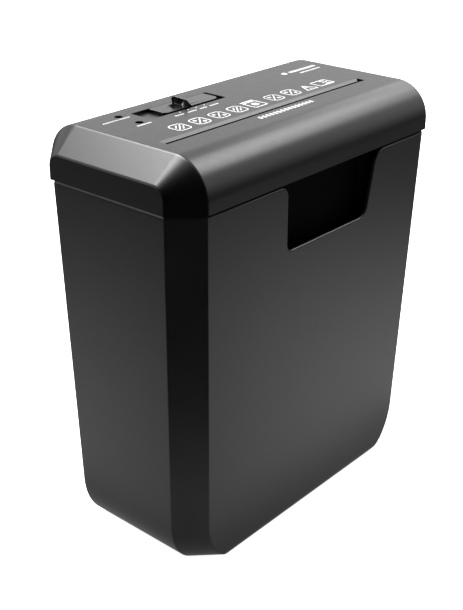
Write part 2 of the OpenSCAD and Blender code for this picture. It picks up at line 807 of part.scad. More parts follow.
module control_board() {
    color([0.75, 0.62, 0.35]) difference() {
        translate(board_at) cube(board);
        for (p = board_holes) bar_z(p, board_at[2] - 1, 4, 1.6);
    }
    // Heat sink of the bridge rectifier, with fins
    color([0.7, 0.71, 0.73]) translate([board_at[0] + 60, board_at[1] + 30, board_at[2] + board[2]]) {
        cube([28, 2, 22]);
        for (i = [0:5]) translate([i * 5.2, 0, 0]) cube([1.6, 7, 22]);
    }
    // Spacers under the board
    color([0.9, 0.9, 0.88]) for (p = board_holes) difference() {
        bar_z(p, tub_floor, board_lift, 3);
        bar_z(p, tub_floor + 1, board_lift, 1.3);
    }
}

module board_screws() {
    color([0.85, 0.85, 0.87]) for (p = board_holes) {
        bar_z(p, board_at[2] + board[2], 1.6, 2.4);
        bar_z(p, tub_floor + 2, board_lift + board[2] - 2, 1.25);
    }
}

module mains_capacitor() {
    color([0.75, 0.25, 0.15]) translate([board_at[0] + 12, board_at[1] + 10, board_at[2] + board[2]])
        cube([26, 10, 18]);
}

module motor_relay() {
    color([0.15, 0.3, 0.55]) translate([board_at[0] + 48, board_at[1] + 6, board_at[2] + board[2]])
        cube([19, 15.5, 15]);
}

// ---------------------------------------------------------------- paper sensor
// Lever whose tip crosses the throat; paper pushes it down and back
module paper_flag() {
    tip = [throat_y - 1.2, 301];
    color([0.85, 0.85, 0.83]) difference() {
        union() {
            bar_x(flag_x - 2.5, 5, flag_axis, 3.4);
            along_x(flag_x - 1.5, 3) polygon([
                flag_axis + [0, 2.4], flag_axis + [1, -2.4],
                tip + [0.6, -1.4], tip + [-0.6, 0.2], tip + [0.2, 1.4]
            ]);
            along_x(flag_x - 0.6, 1.2) polygon([
                flag_axis + [0, 3], flag_axis + [0, -2], flag_axis + [9, 1.5], flag_axis + [9, 6]
            ]);
        }
        bar_x(flag_x - 4, 8, flag_axis, flag_pin_r + run_gap);
    }
}

module flag_pin() {
    color([0.8, 0.8, 0.82]) bar_x(flag_x - 6.2, 12.4, flag_axis, flag_pin_r);
}

// Two ears on a foot that stands behind the throat guide's rear wall
module flag_bracket() {
    back = throat_y + throat_gap / 2 + guide_t;
    z0 = flag_axis[1] - 7;
    color([0.2, 0.2, 0.21]) difference() {
        union() {
            for (s = [-1, 1]) along_x(flag_x + s * 4.6 - 1.1, 2.2) polygon([
                [back, z0], [back, z0 + 13], [flag_axis[0] + 3.5, z0 + 11], [flag_axis[0] + 3.5, z0 + 3]
            ]);
            for (s = [-1, 1]) translate([flag_x + s * 8 - 4.5, back, z0]) cube([9, 1.6, 13]);
            translate([flag_x - 5, back, z0 + 10.8]) cube([10, 1.6, 2.2]);
        }
        bar_x(flag_x - 7, 14, flag_axis, flag_pin_r + seat_gap);
    }
}

// Fork-shaped light barrier that the flag's tail passes through
module flag_sensor() {
    y0 = flag_axis[0] + 6.5;
    z0 = flag_axis[1] - 6;
    color([0.1, 0.1, 0.11]) difference() {
        translate([flag_x - 5, y0, z0]) cube([10, 7, top_z - wall - 0.05 - z0]);
        translate([flag_x - 1.9, y0 - 1, z0 + 3]) cube([3.8, 6.5, 18]);
    }
}

// ---------------------------------------------------------------- safety switch
module interlock_plunger() {
    color([0.85, 0.85, 0.83]) {
        bar_z(plunger_at, plunger_z, 10.6, plunger_r);
        bar_z(plunger_at, plunger_z + 9.6, 1.4, plunger_r + 1.2);
    }
}

module interlock_switch() {
    z0 = plunger_z + 11.2;
    color([0.1, 0.1, 0.11]) {
        translate([plunger_at[0] - 3.2, plunger_at[1] - 10, z0]) cube([6.4, 20, 8.2]);
        // Feet that stand on the housing's flange
        for (s = [-1, 1]) translate([plunger_at[0] - 3.2, plunger_at[1] + s * 8 - 2, seam_z + flange_t])
            cube([6.4, 4, z0 - seam_z - flange_t + eps]);
    }
}

module thermal_cutout() {
    color([0.75, 0.75, 0.72]) translate([motor_x + 26, motor_at[0] - 5, motor_at[1] + motor_r + eps])
        cube([20, 10, 4.5]);
}

// Bush around the cord's hole in the back wall; the cord itself isn't part of the model
module cord_gland() {
    y0 = half_d - wall - 6;
    color([0.06, 0.06, 0.07]) difference() {
        union() {
            bar_y(y0, half_d - y0, gland_at, gland_neck_r);
            bar_y(half_d - gland_rim, gland_rim, gland_at, gland_r);
            bar_y(y0, 3.4, gland_at, gland_r);
        }
        bar_y(y0 - 1, half_d - y0 + 2, gland_at, cord_r);
    }
}

// ---------------------------------------------------------------- output
waste_bin();
top_cover();
lower_housing();
throat_guide();
left_frame_plate();
right_frame_plate();
tie_rods();
tie_rod_screws();
front_stripper_comb();
rear_stripper_comb();
cutter_bushes();
front_cutter_shaft();
front_cutter_discs();
front_cutter_gear();
rear_cutter_shaft();
rear_cutter_discs();
rear_cutter_gear();
rear_drive_gear();
motor_can();
motor_magnets();
motor_end_cap();
motor_armature();
motor_pinion();
motor_screws();
first_compound_gear();
second_compound_gear();
gear_axles();
gear_plate();
gear_plate_posts();
gear_plate_screws();
frame_screws();
selector_slider();
selector_switch();
indicator_lenses();
control_board();
mains_capacitor();
motor_relay();
board_screws();
paper_flag();
flag_bracket();
flag_pin();
flag_sensor();
interlock_plunger();
interlock_switch();
thermal_cutout();
cord_gland();
cover_screws();
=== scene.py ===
"""Cross-cut paper shredder on a pale floor: moulded covers, printed marks, materials and light.

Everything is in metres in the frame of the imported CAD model: X along the paper slot,
-Y towards the front, Z up, the origin on the floor under the middle of the bin.
"""
import json
import math

import bmesh
import bpy
from mathutils import Matrix, Vector


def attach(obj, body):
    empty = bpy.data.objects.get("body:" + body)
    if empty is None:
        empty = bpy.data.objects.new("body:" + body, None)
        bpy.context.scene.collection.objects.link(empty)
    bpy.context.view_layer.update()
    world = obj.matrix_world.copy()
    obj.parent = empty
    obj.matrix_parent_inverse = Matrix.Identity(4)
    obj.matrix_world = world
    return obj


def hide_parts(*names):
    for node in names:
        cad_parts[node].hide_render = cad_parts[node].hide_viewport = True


MM = 0.001
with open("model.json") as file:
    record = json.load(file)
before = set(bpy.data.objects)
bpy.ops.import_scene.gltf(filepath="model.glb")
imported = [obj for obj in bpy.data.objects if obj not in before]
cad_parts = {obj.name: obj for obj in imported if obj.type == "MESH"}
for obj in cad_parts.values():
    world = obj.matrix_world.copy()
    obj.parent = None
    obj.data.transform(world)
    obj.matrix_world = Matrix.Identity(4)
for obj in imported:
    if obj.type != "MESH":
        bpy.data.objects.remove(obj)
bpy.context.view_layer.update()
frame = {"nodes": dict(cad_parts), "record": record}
nodes = frame["nodes"]

# ------------------------------------------------------------------ sizes, in millimetres
WALL = 2.4                      # thickness of both mouldings

# Head
HEAD_HALF = (150.0, 75.0)       # half length and half depth
SEAM_Z, LIP_Z, TOP_Z = 293.0, 312.0, 329.0
TOP_R, LIP_R = 28.0, 9.5        # corner radius of the middle section and of the end section
BEVEL = 20.0                    # length of the bevel round each end, and of the bin's corner strips
CREASE = 1.1                    # rounding of the creases beside the bevel
THROAT = dict(x0=-116.2, x1=103.8, y0=-29.7, y1=-23.9, lead=2.3, end=3.2, depth=1.6)
RECESS = dict(x0=-85.1, x1=-5.8, y0=18.4, y1=39.6, floor=326.7, wall=1.8, base=1.6)
GLAND = (-96.0, 304.5)
GLAND_HOLES = ((5.0, 66.0), (6.6, 73.3))    # radius and inner end of the hole and of the flange's seat

# Indicator lenses
LENSES = ((-96.5, 40.1), (-96.1, 19.6))
LENS_R = 3.0
LENS_COLLAR = 1.2               # how far the collar stands out
LENS_Z = (316.0, 319.2, 319.6, 324.6)   # foot, collar's edge, collar's top, foot of the dome
LENS_DOME = 0.9                 # height of the dome

# Bin
RIM_Z = 292.4
RIM_HALF = (148.4, 73.3)        # half sizes at the rim
FRONT_RIM_Z = 290.9             # the front wall ends a little lower
FRONT_RIM_HALF = 128.5          # half length of that lower stretch
BASE_HALF = (140.5, 67.0)       # half sizes at the floor
BASE_END = (30.0, 42.0)         # inward reach and height of the lower curve at the ends
BASE_EDGE = (5.0, 5.5)          # the same along the front and the back
RIM_CURVE, RIM_R = 3.4, 7.5     # height and radius of the inward lean under the rim
RIM_EDGE = 1.3                  # rounding of the rim's outer edge
RIM_EDGE_Z = 230.0              # that rounding is kept above this height
NOTCH_Z = 239.6                 # foot of the grip notch
NOTCH = ((-60, 306, 0), (-60, FRONT_RIM_Z, 0), (-43.6, FRONT_RIM_Z, 9), (-41.7, NOTCH_Z, 6),
         (55, NOTCH_Z, 9), (63.8, FRONT_RIM_Z, 14), (90, FRONT_RIM_Z, 0), (90, 306, 0))

# Selector
KNOB = (-41.5, 29.8)
SLIDER = dict(x0=-67.7, x1=-9.2, y0=22.0, y1=39.2, z0=327.0, z1=329.1, travel=(-17.0, 3.0),
              corners=(2.5, 5, 1.5, 1.5))
DISH = ((-8.6, 0.6, 2.9), (9.6, 7.4, 4.0))      # its centre, from the knob at the plate's top, and radii
RIDGE = ((-2.5, -1.2, 0), (-3.9, 6.0, 0.5), (-3.0, 5.9, 0.7), (3.6, -1.2, 0))   # x, z, radius
RIDGE_ENDS = ((-8.0, 0.62), (-7.4, 0.83), (-6.2, 0.95), (-4.5, 1),
              (4.5, 1), (6.2, 0.94), (7.2, 0.8), (7.7, 0.6))    # y, and share of the full height
RIDGE_WIDTH = (0.82, 0.022)     # scale at the middle, and its growth per millimetre to the back
RIDGE_HEIGHT = (0.89, 0.014)    # the same for the height
STEM = (2.0, 1.8, 11.0)         # half length, half depth and reach below the plate
STEM_GAP = (1.0, 0.7)           # play in the stem's slot

# Widths of the rounding of ordinary edges
COVER_EDGE, BIN_EDGE, PLATE_EDGE, RIDGE_EDGE = 0.25, 0.3, 0.35, 0.5

# Camera
CAMERA_PLACE = (-621.4, -517.4, 548.7)
CAMERA_YAW = 49.008             # degrees from +Y towards +X
CAMERA_PITCH, CAMERA_ROLL = -25.738, 0.289
CAMERA_LENS, CAMERA_SHIFT = 65.24, (0.0095, 0.0008)

# Half sizes of the floor and of the card that stands in for it in reflections
FLOOR_HALF, GLOW_HALF = 30000.0, 1500.0


# ------------------------------------------------------------------ mesh helpers
def mesh_object(name, verts, faces):
    """A mesh object from vertices in millimetres."""
    mesh = bpy.data.meshes.new(name)
    mesh.from_pydata([Vector(v) * MM for v in verts], [], faces)
    mesh.validate()
    obj = bpy.data.objects.new(name, mesh)
    bpy.context.scene.collection.objects.link(obj)
    return obj


def skin(name, rings):
    """A closed skin over a stack of rings that all have the same number of points."""
    count = len(rings[0])
    verts = [p for ring in rings for p in ring]
    faces = [tuple(reversed(range(count)))]
    for k in range(len(rings) - 1):
        for i in range(count):
            j = (i + 1) % count
            faces.append((count * k + i, count * k + j, count * (k + 1) + j, count * (k + 1) + i))
    faces.append(tuple(count * (len(rings) - 1) + i for i in range(count)))
    return mesh_object(name, verts, faces)


def prism(name, outline, lo, hi, place):
    """A closed prism: place(u, v, w) puts an outline point (u, v) at depth w."""
    return skin(name, [[place(u, v, w) for u, v in outline] for w in (lo, hi)])


def block(name, lo, hi):
    """A box between two corners."""
    outline = [(lo[0], lo[1]), (hi[0], lo[1]), (hi[0], hi[1]), (lo[0], hi[1])]
    return prism(name, outline, lo[2], hi[2], upright)


def mix(a, b, t):
    return a + (b - a) * t


def arc(cx, cy, r, a0, a1, steps):
    """Points along an arc from angle a0 to a1, in degrees."""
    return [(cx + r * math.cos(math.radians(a0 + (a1 - a0) * k / steps)),
             cy + r * math.sin(math.radians(a0 + (a1 - a0) * k / steps))) for k in range(steps + 1)]


def circle(cx, cy, r, steps):
    return arc(cx, cy, r, 0, 360, steps)[:-1]


def upright(u, v, w):
    """Places an outline in plan, with its depth along Z."""
    return u, v, w


def rounded(points, steps=8):
    """An outline with its corners rounded; each point is (x, y, radius)."""
    out = []
    count = len(points)
    for i, (x, y, r) in enumerate(points):
        p = Vector((x, y))
        u = (Vector(points[i - 1][:2]) - p).normalized()
        v = (Vector(points[(i + 1) % count][:2]) - p).normalized()
        if r == 0:
            out.append(tuple(p))
            continue
        half = u.angle(v) / 2
        centre = p + (u + v).normalized() * r / math.sin(half)
        start = p + u * r / math.tan(half) - centre
        end = p + v * r / math.tan(half) - centre
        for k in range(steps + 1):
            out.append(tuple(centre + (start.lerp(end, k / steps)).normalized() * r))
    return out


def outward(obj):
    """Turns all faces outward."""
    bm = bmesh.new()
    bm.from_mesh(obj.data)
    bmesh.ops.recalc_face_normals(bm, faces=bm.faces)
    bm.to_mesh(obj.data)
    bm.free()


def combine(obj, others, operation):
    """Applies one boolean with each of the other objects and removes them."""
    for other in others:
        outward(other)
        mod = obj.modifiers.new("cut", "BOOLEAN")
        mod.operation = operation
        mod.object = other
        mod.solver = "MANIFOLD"
    apply_modifiers(obj)
    for other in others:
        bpy.data.meshes.remove(other.data)


def apply_modifiers(obj):
    graph = bpy.context.evaluated_depsgraph_get()
    mesh = bpy.data.meshes.new_from_object(obj.evaluated_get(graph))
    old = obj.data
    obj.modifiers.clear()
    obj.data = mesh
    bpy.data.meshes.remove(old)


def soften(obj, width, segments=2, angle=35):
    """Rounds every edge sharper than angle and shades the rest smooth."""
    mod = obj.modifiers.new("soften", "BEVEL")
    mod.width = width * MM
    mod.segments = segments
    mod.limit_method = "ANGLE"
    mod.angle_limit = math.radians(angle)
    mod.harden_normals = False
    mod.use_clamp_overlap = True
    apply_modifiers(obj)
    shade(obj)


def smooth(obj, angle):
    """Smooth shading over every edge flatter than angle."""
    obj.data.shade_smooth()
    obj.data.set_sharp_from_angle(angle=math.radians(angle))


def shade(obj):
    """Smooth shading up to 50 degrees, with flat faces kept flat."""
    smooth(obj, 50)
    weight = obj.modifiers.new("weight", "WEIGHTED_NORMAL")
    weight.keep_sharp = True
    apply_modifiers(obj)


# ------------------------------------------------------------------ top cover
def head_ring(x, t, w=0.0):
    """Section of the head at x. t runs from 0, the middle section, to 1, the end section; w is an inset.

    The end section is inset by less: it stands w inside the outer end, where the bevel is wider.
    """
    half = mix(HEAD_HALF[1] - w, HEAD_HALF[1] - BEVEL - 0.4 * w, t)
    top = mix(TOP_Z - w, LIP_Z - 0.45 * w, t)
    r = mix(TOP_R - w, LIP_R - 0.4 * w, t)
    low = SEAM_Z - (1 if w else 0)
    outline = [(-half, low)]
    outline += arc(-half + r, top - r, r, 180, 90, 20)
    outline += arc(half - r, top - r, r, 90, 0, 20)
    outline += [(half, low)]
    return [(x, y, z) for y, z in outline]


def bevel_profile(fillet, steps=4):
    """(x, t) along the head's end: flat, bevel, end, with both creases rounded by fillet."""
    crease = HEAD_HALF[0] - BEVEL

    def curve(a, b, c):
        return [tuple(Vector(a).lerp(Vector(b), s).lerp(Vector(b).lerp(Vector(c), s), s))
                for s in (k / steps for k in range(steps + 1))]

    first = curve((crease - fillet, 0), (crease, 0), (crease + fillet, fillet / BEVEL))
    second = curve((HEAD_HALF[0] - fillet, 1 - fillet / BEVEL), (HEAD_HALF[0], 1),
                   (HEAD_HALF[0], 1 + fillet / BEVEL))
    return first + second


def make_top_cover():
    side = bevel_profile(CREASE)
    rings = [head_ring(-x, t) for x, t in reversed(side)] + [head_ring(x, t) for x, t in side]
    cover = skin("cover_moulding", rings)
    outward(cover)
    w = WALL
    inner = [(HEAD_HALF[0] - BEVEL - 0.4 * w, 0), (HEAD_HALF[0] - w, 1)]
    hollow = skin("hollow", [head_ring(-x, t, w) for x, t in reversed(inner)]
                  + [head_ring(x, t, w) for x, t in inner])
    combine(cover, [hollow], "DIFFERENCE")
    r, s = RECESS, RECESS["wall"]
    tray = block("tray", (r["x0"] - s, r["y0"] - s, r["floor"] - r["base"]),
                 (r["x1"] + s, r["y1"] + s, TOP_Z - 1))
    combine(cover, [tray], "UNION")
    t = THROAT
    travel = SLIDER["travel"]
    stem_x, stem_y = STEM[0] + STEM_GAP[0], STEM[1] + STEM_GAP[1]
    lead = [(t["y0"], TOP_Z - t["depth"]), (t["y1"], TOP_Z - t["depth"]),
            (t["y1"] + t["lead"], TOP_Z + 0.01), (t["y1"] + t["lead"], TOP_Z + 2), (t["y0"], TOP_Z + 2)]
    cuts = [
        block("slot", (t["x0"], t["y0"], TOP_Z - 4), (t["x1"], t["y1"], TOP_Z + 1)),
        prism("lead_in", lead, t["x0"] - t["end"], t["x1"] + t["end"], lambda u, v, w: (w, u, v)),
        block("recess", (r["x0"], r["y0"], r["floor"]), (r["x1"], r["y1"], TOP_Z + 1)),
        block("stem_slot", (KNOB[0] + travel[0] - stem_x, KNOB[1] - stem_y, r["floor"] - 4),
              (KNOB[0] + travel[1] + stem_x, KNOB[1] + stem_y, r["floor"] + 1)),
    ]
    for x, y in LENSES:
        cuts.append(prism("lens_hole", circle(x, y, LENS_R + 0.1, 32), TOP_Z - 12, TOP_Z + 2, upright))
    for radius, y0 in GLAND_HOLES:
        hole = circle(*GLAND, radius, 40)
        cuts.append(prism("gland_hole", hole, y0, HEAD_HALF[1] + 5, lambda u, v, w: (u, w, v)))
    combine(cover, cuts, "DIFFERENCE")
    soften(cover, COVER_EDGE, 2, 22)
    return cover


# ------------------------------------------------------------------ waste bin
def curve_in(curve, w, z):
    """How far a lower curve, offset inward by w, has come in at height z above its lowest point."""
    reach, height = curve[0] - w, curve[1] - w
    return 0.0 if z >= height else reach * (1 - math.sqrt(1 - (1 - z / height) ** 2))


def wall_half(z):
    """Half length and half depth of the bin's outside at height z, without the curve at its base."""
    t = z / RIM_Z
    up = max(0.0, z - RIM_Z + RIM_CURVE)
    lean = RIM_R - math.sqrt(RIM_R ** 2 - up ** 2)
    return [b + (r - b) * t - lean for b, r in zip(BASE_HALF, RIM_HALF)]


def bin_ring(z, w=0.0, corner=1.4):
    """The bin's outline at height z: an octagon with rounded corners, shrunk by w."""
    low = max(0.0, z - w)
    hl, hd = wall_half(min(z, RIM_Z) if w == 0 else min(z, RIM_Z - RIM_CURVE))
    hl -= w + curve_in(BASE_END, w, low)
    hd -= w + curve_in(BASE_EDGE, w, low)
    c = BEVEL - w * (2 - math.sqrt(2))
    eight = [(-hl, -hd + c), (-hl + c, -hd), (hl - c, -hd), (hl, -hd + c),
             (hl, hd - c), (hl - c, hd), (-hl + c, hd), (-hl, hd - c)]
    return [(x, y, z) for x, y in rounded([(x, y, corner) for x, y in eight], 4)]


def bin_levels(w):
    """Heights of the rings: close together round the curved lower end, then up to the rim."""
    r = BASE_END[1] - w
    curved = [w + r * (1 - math.cos(math.radians(a))) for a in range(0, 91, 6)]
    return curved + [60, 120, 180, 235]


def make_waste_bin():
    lean = [RIM_Z - RIM_CURVE * (1 - k / 6) for k in range(7)]
    body = skin("bin_moulding", [bin_ring(z) for z in bin_levels(0) + lean])
    outward(body)
    hollow = skin("hollow", [bin_ring(z, WALL) for z in bin_levels(WALL) + [RIM_Z + 1]])
    combine(body, [hollow], "DIFFERENCE")
    notch = prism("notch", rounded(NOTCH), -80, -60, lambda u, v, w: (u, w, v))
    front_rim = block("front_rim", (-FRONT_RIM_HALF, -80, FRONT_RIM_Z), (FRONT_RIM_HALF, -68, RIM_Z + 4))
    combine(body, [notch, front_rim], "DIFFERENCE")
    round_rim(body)
    soften(body, BIN_EDGE)
    return body


def round_rim(body):
    """Rounds the outer edge of the rim, and of the notch that runs into it.

    These are the edges sharper than 45 degrees that lie on the bin's outside.
    """
    bm = bmesh.new()
    bm.from_mesh(body.data)
    bmesh.ops.remove_doubles(bm, verts=bm.verts, dist=0.02 * MM)
    bm.normal_update()
    edges = []
    for e in bm.edges:
        if len(e.link_faces) != 2 or e.calc_face_angle(0) < math.radians(45):
            continue
        middle = (e.verts[0].co + e.verts[1].co) / 2 / MM
        hl, hd = wall_half(min(middle.z, RIM_Z))
        outside = max(abs(middle.x) - hl, abs(middle.y) - hd,
                      (abs(middle.x) + abs(middle.y) - hl - hd + BEVEL) / math.sqrt(2))
        if middle.z > RIM_EDGE_Z and outside > -0.25 * WALL:
            edges.append(e)
    bmesh.ops.bevel(bm, geom=edges, offset=RIM_EDGE * MM, segments=4, profile=0.5, affect="EDGES",
                    clamp_overlap=False)
    bm.to_mesh(body.data)
    bm.free()


# ------------------------------------------------------------------ selector
def ridge_ring(w, share):
    """The ridge's section at depth w behind the knob's middle, with its top at a share of full height."""
    wide = RIDGE_WIDTH[0] + RIDGE_WIDTH[1] * w
    high = RIDGE_HEIGHT[0] + RIDGE_HEIGHT[1] * w
    return [(KNOB[0] + u * wide, KNOB[1] + w, SLIDER["z1"] + (v if v < 0 else v * share) * high)
            for u, v in rounded(RIDGE)]


def make_slider():
    """A flat plate with a thumb ridge across it and a scooped dish to the left of the ridge."""
    p = SLIDER
    corners = ((p["x0"], p["y0"]), (p["x1"], p["y0"]), (p["x1"], p["y1"]), (p["x0"], p["y1"]))
    outline = rounded([(x, y, r) for (x, y), r in zip(corners, p["corners"])])
    slider = prism("selector_thumb_slider", outline, p["z0"], p["z1"], upright)
    outward(slider)
    soften(slider, PLATE_EDGE, 3, 50)
    offset, radii = DISH
    dish = ellipsoid("dish", (KNOB[0] + offset[0], KNOB[1] + offset[1], p["z1"] + offset[2]), radii)
    combine(slider, [dish], "DIFFERENCE")
    ridge = skin("ridge", [ridge_ring(w, share) for w, share in RIDGE_ENDS])
    outward(ridge)
    soften(ridge, RIDGE_EDGE, 3, 60)
    stem = block("stem", (KNOB[0] - STEM[0], KNOB[1] - STEM[1], p["z0"] - STEM[2]),
                 (KNOB[0] + STEM[0], KNOB[1] + STEM[1], p["z0"] + 1))
    combine(slider, [ridge, stem], "UNION")
    shade(slider)
    return slider


def ellipsoid(name, centre, radii, steps=48):
    """A closed ellipsoid of rings, pinched to small caps at its poles."""
    rings = []
    for k in range(steps // 2):
        a = math.radians(-88 + 176 * k / (steps // 2 - 1))
        rings.append([(centre[0] + radii[0] * math.cos(a) * x, centre[1] + radii[1] * math.cos(a) * y,
                       centre[2] + radii[2] * math.sin(a)) for x, y in circle(0, 0, 1, steps)])
    return skin(name, rings)


# ------------------------------------------------------------------ indicator lenses
def circle_at(x, y, r, z):
    return [(x + r * u, y + r * v, z) for u, v in circle(0, 0, 1, 40)]


def make_lenses():
    """Two small domed lenses, sunk in their holes, each with a collar below the cover."""
    foot, edge, top, dome = LENS_Z
    profile = [(LENS_R + LENS_COLLAR, foot), (LENS_R + LENS_COLLAR, edge), (LENS_R, top), (LENS_R, dome)]
    profile += [(LENS_R * math.cos(math.radians(a)), dome + LENS_DOME * math.sin(math.radians(a)))
                for a in range(15, 90, 15)]
    profile.append((0.05, dome + LENS_DOME))
    pair = [skin("indicator_lens_pair", [circle_at(x, y, r, z) for r, z in profile]) for x, y in LENSES]
    outward(pair[0])
    combine(pair[0], pair[1:], "UNION")
    smooth(pair[0], 40)
    return pair[0]


# ------------------------------------------------------------------ printed marks
INK = 0.03                      # how far the ink stands above the cover, and how far it sinks in


class Print:
    """Collects flat inked shapes on the top of the cover and makes one mesh of them."""

    def __init__(self):
        self.verts, self.faces = [], []

    def loop(self, outer, inner):
        """Ink between two outlines with the same number of points."""
        n, base = len(outer), len(self.verts)
        for z in (TOP_Z - INK, TOP_Z + INK):
            self.verts += [(x, y, z) for x, y in outer] + [(x, y, z) for x, y in inner]
        for i in range(n):
            j = (i + 1) % n
            o0, o1, i0, i1 = base + i, base + j, base + n + i, base + n + j
            up = 2 * n
            self.faces += [(o0 + up, o1 + up, i1 + up, i0 + up), (o0, i0, i1, o1),
                           (o0, o1, o1 + up, o0 + up), (i0, i0 + up, i1 + up, i1)]

    def patch(self, outline):
        """A filled shape."""
        n, base = len(outline), len(self.verts)
        for z in (TOP_Z - INK, TOP_Z + INK):
            self.verts += [(x, y, z) for x, y in outline]
        self.faces += [tuple(base + n + i for i in range(n)), tuple(base + n - 1 - i for i in range(n))]
        self.faces += [(base + i, base + (i + 1) % n, base + n + (i + 1) % n, base + n + i)
                       for i in range(n)]

    def frame(self, points, width):
        """A rounded outline of even width; each point is (x, y, radius) of its outer edge."""
        x = [q[0] for q in points]
        y = [q[1] for q in points]
        cx, cy = (min(x) + max(x)) / 2, (min(y) + max(y)) / 2
        outer = rounded(points, 5)
        inner = []
        for i, (a, b) in enumerate(outer):
            before, after = Vector(outer[i - 1]), Vector(outer[(i + 1) % len(outer)])
            along = (after - before).normalized()
            side = Vector((-along.y, along.x))
            if side.dot(Vector((cx - a, cy - b))) < 0:
                side = -side
            inner.append((a + side.x * width, b + side.y * width))
        self.loop(outer, inner)

    def bar(self, a, b, width):
        """A straight stroke with round ends from a to b."""
        turn = math.degrees(math.atan2(b[1] - a[1], b[0] - a[0]))
        self.patch(arc(*b, width / 2, turn - 90, turn + 90, 6)
                   + arc(*a, width / 2, turn + 90, turn + 270, 6))

    def disc(self, x, y, r):
        self.patch(circle(x, y, r, 24))

    def build(self, name):
        marks = mesh_object(name, self.verts, self.faces)
        outward(marks)
        return marks


def rect(x0, y0, x1, y1, r):
    return [(x0, y0, r), (x1, y0, r), (x1, y1, r), (x0, y1, r)]


def forbidden(marks, x, y, glyph):
    """A rounded frame with a stroke across it and a plain glyph in each free corner."""
    marks.frame(rect(x - 6.9, y - 7.3, x + 6.9, y + 7.3, 4.2), 0.95)
    marks.bar((x - 4.0, y - 4.2), (x + 4.0, y + 4.2), 1.0)
    glyph(marks, x, y)


def glyph_dots(marks, x, y):
    marks.disc(x - 2.5, y + 2.6, 1.5)
    marks.disc(x + 2.5, y - 2.6, 1.5)


def glyph_bars(marks, x, y):
    marks.bar((x - 4.0, y - 0.4), (x + 0.2, y + 4.0), 1.0)
    marks.bar((x - 0.2, y - 4.0), (x + 4.0, y + 0.4), 1.0)


def glyph_square(marks, x, y):
    marks.patch([(x - 4.0, y + 1.4), (x - 1.4, y + 1.4), (x - 1.4, y + 4.0), (x - 4.0, y + 4.0)])
    marks.patch([(x + 1.4, y - 4.0), (x + 4.0, y - 4.0), (x + 4.0, y - 1.4), (x + 1.4, y - 1.4)])


def dashes(marks, x, y, widths, height, gap):
    """A row of short bars in place of lettering."""
    for w in widths:
        marks.patch([(x, y), (x + w, y), (x + w, y + height), (x, y + height)])
        x += w + gap


def make_marks():
    """Generic signs behind the slot, rows of dashes for lettering, and ticks by the selector."""
    marks = Print()
    y, xs = -9.1, (-85.6, -65.1, -44.8, -24.9, -5.6, 17.7, 38.0, 57.7, 77.4)
    for i, glyph in ((0, glyph_bars), (1, glyph_dots), (2, glyph_square), (3, glyph_bars),
                     (5, glyph_dots), (6, glyph_square)):
        forbidden(marks, xs[i], y, glyph)
    # Tray sign: a heavy frame with a thick top bar and a round block
    x = xs[4]
    marks.frame(rect(x - 7.4, y - 8.0, x + 7.4, y + 6.0, 1.6), 1.2)
    marks.patch([(x - 7.0, y + 7.0), (x + 7.0, y + 7.0), (x + 7.0, y + 8.6), (x - 7.0, y + 8.6)])
    marks.disc(x, y - 1.0, 3.2)
    # Triangle with a bar and a dot
    x = xs[7]
    marks.frame([(x - 7.4, y - 7.0, 1), (x + 7.4, y - 7.0, 1), (x, y + 6.0, 1)], 1.1)
    marks.bar((x, y - 1.6), (x, y + 1.6), 1.2)
    marks.disc(x, y - 4.0, 0.8)
    # Sheet sign: a long frame with three lines
    x = xs[8]
    marks.frame(rect(x - 9.2, y - 6.6, x + 9.2, y + 5.6, 1.4), 1.1)
    for k in range(3):
        marks.bar((x + 0.5, y - 3.9 + 3.4 * k), (x + 6.0, y - 3.9 + 3.4 * k), 1.1)
    # Rows of short bars in place of lettering: below the slot, by the lamps and the selector
    dashes(marks, -32.0, -38.2, (2.3,) * 15, 4.4, 1.9)
    dashes(marks, -116.5, 33.8, (1.2,) * 13, 1.8, 0.8)
    dashes(marks, -103.6, 13.0, (1.2,) * 7, 1.8, 0.8)
    for x, count in ((-68.4, 5), (-55.0, 5), (-42.0, 4), (-31.4, 5)):
        dashes(marks, x, 10.6, (1.1,) * count, 1.8, 0.8)
    for x in (-58.5, -49.9, -41.3, -32.7):
        marks.disc(x, 16.2, 0.65)
    # A dot and two rows of bars at the back right
    marks.disc(80.0, 30.4, 2.6)
    dashes(marks, 86.0, 28.0, (1.7,) * 13, 3.8, 0.9)
    dashes(marks, 91.5, 21.6, (1.3,) * 13, 2.2, 0.7)
    return marks.build("printed_marks")


# ------------------------------------------------------------------ materials
def new_material(name):
    """A new material with its node tree and its shader."""
    mat = bpy.data.materials.new(name)
    mat.use_nodes = True
    tree = mat.node_tree
    shader = tree.nodes["Principled BSDF"]
    return mat, tree, shader


def add(tree, kind, **inputs):
    """A new node with values on some of its inputs."""
    node = tree.nodes.new(kind)
    for key, value in inputs.items():
        node.inputs[key.replace("_", " ")].default_value = value
    return node


def noise(tree, coords, scale, detail=2.0, rough=0.5):
    node = add(tree, "ShaderNodeTexNoise", Scale=scale, Detail=detail, Roughness=rough)
    tree.links.new(coords, node.inputs["Vector"])
    return node.outputs["Fac"]


def remap(tree, value, lo, hi, to_lo, to_hi, blend="LINEAR"):
    """Maps lo to hi onto to_lo to to_hi, and holds the end values beyond them."""
    node = add(tree, "ShaderNodeMapRange", From_Min=lo, From_Max=hi, To_Min=to_lo, To_Max=to_hi)
    node.interpolation_type = blend
    tree.links.new(value, node.inputs["Value"])
    return node.outputs["Result"]


def math_node(tree, operation, a, b=None):
    """One Math node; each operand is a socket or a number."""
    node = tree.nodes.new("ShaderNodeMath")
    node.operation = operation
    for socket, value in zip(node.inputs, (a, b)):
        if isinstance(value, (int, float)):
            socket.default_value = value
        elif value is not None:
            tree.links.new(value, socket)
    return node.outputs["Value"]


